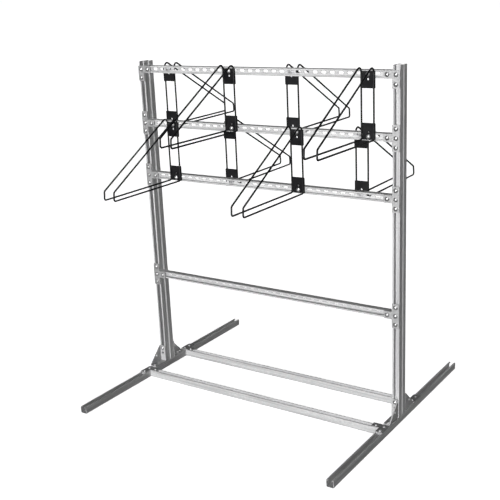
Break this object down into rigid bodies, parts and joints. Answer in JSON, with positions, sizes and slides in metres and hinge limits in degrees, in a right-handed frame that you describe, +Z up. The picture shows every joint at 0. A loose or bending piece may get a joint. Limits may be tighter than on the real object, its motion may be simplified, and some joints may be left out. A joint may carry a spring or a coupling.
{
  "type": "vertical bike rack",
  "caption": "Free-standing vertical bike rack: a bolted strut-channel frame on long feet, with staggered black rod hangers on both faces.",
  "frame": {"origin": "on the floor, in the middle of the rack's footprint", "axes": "+Z up, +X along the rails to the right as seen from the front, +Y from the front to the back"},
  "size_m": [1.656, 1.57, 1.93],
  "materials": {
    "strut_steel": "zinc-coated, satin",
    "plate_steel": "zinc-coated, satin",
    "black_coat": "black powder coat, semi-gloss",
    "bolt_steel": "zinc-plated, bright",
    "nut_steel": "zinc-plated, satin"
  },
  "bodies": {
    "root": {"post_left_front": "strut_steel", "post_left_back": "strut_steel", "post_right_front": "strut_steel", "post_right_back": "strut_steel", "foot_left": "strut_steel", "foot_right": "strut_steel", "rail_top": "strut_steel", "rail_upper": "strut_steel", "rail_middle": "strut_steel", "rail_low": "strut_steel", "floor_rail_front": "strut_steel", "floor_rail_back": "strut_steel", "rail_plate_top_left": "plate_steel", "rail_plate_top_right": "plate_steel", "rail_plate_upper_left": "plate_steel", "rail_plate_upper_right": "plate_steel", "rail_plate_middle_left": "plate_steel", "rail_plate_middle_right": "plate_steel", "rail_plate_low_left": "plate_steel", "rail_plate_low_right": "plate_steel", "gusset_left_front": "plate_steel", "gusset_left_back": "plate_steel", "gusset_right_front": "plate_steel", "gusset_right_back": "plate_steel", "floor_plate_left_front": "plate_steel", "floor_plate_left_back": "plate_steel", "floor_plate_right_front": "plate_steel", "floor_plate_right_back": "plate_steel", "hanger_front_1_loops": "black_coat", "hanger_front_1_upper_plate": "black_coat", "hanger_front_1_lower_plate": "black_coat", "hanger_front_2_loops": "black_coat", "hanger_front_2_upper_plate": "black_coat", "hanger_front_2_lower_plate": "black_coat", "hanger_front_3_loops": "black_coat", "hanger_front_3_upper_plate": "black_coat", "hanger_front_3_lower_plate": "black_coat", "hanger_front_4_loops": "black_coat", "hanger_front_4_upper_plate": "black_coat", "hanger_front_4_lower_plate": "black_coat", "hanger_back_1_loops": "black_coat", "hanger_back_1_upper_plate": "black_coat", "hanger_back_1_lower_plate": "black_coat", "hanger_back_2_loops": "black_coat", "hanger_back_2_upper_plate": "black_coat", "hanger_back_2_lower_plate": "black_coat", "hanger_back_3_loops": "black_coat", "hanger_back_3_upper_plate": "black_coat", "hanger_back_3_lower_plate": "black_coat", "hanger_back_4_loops": "black_coat", "hanger_back_4_upper_plate": "black_coat", "hanger_back_4_lower_plate": "black_coat", "rail_plate_bolts": "bolt_steel", "base_bolts": "bolt_steel", "hanger_bolts": "bolt_steel", "rail_plate_nuts": "nut_steel", "base_nuts": "nut_steel", "hanger_channel_nuts": "nut_steel", "hanger_web_nuts": "nut_steel"}
  },
  "joints": []
}
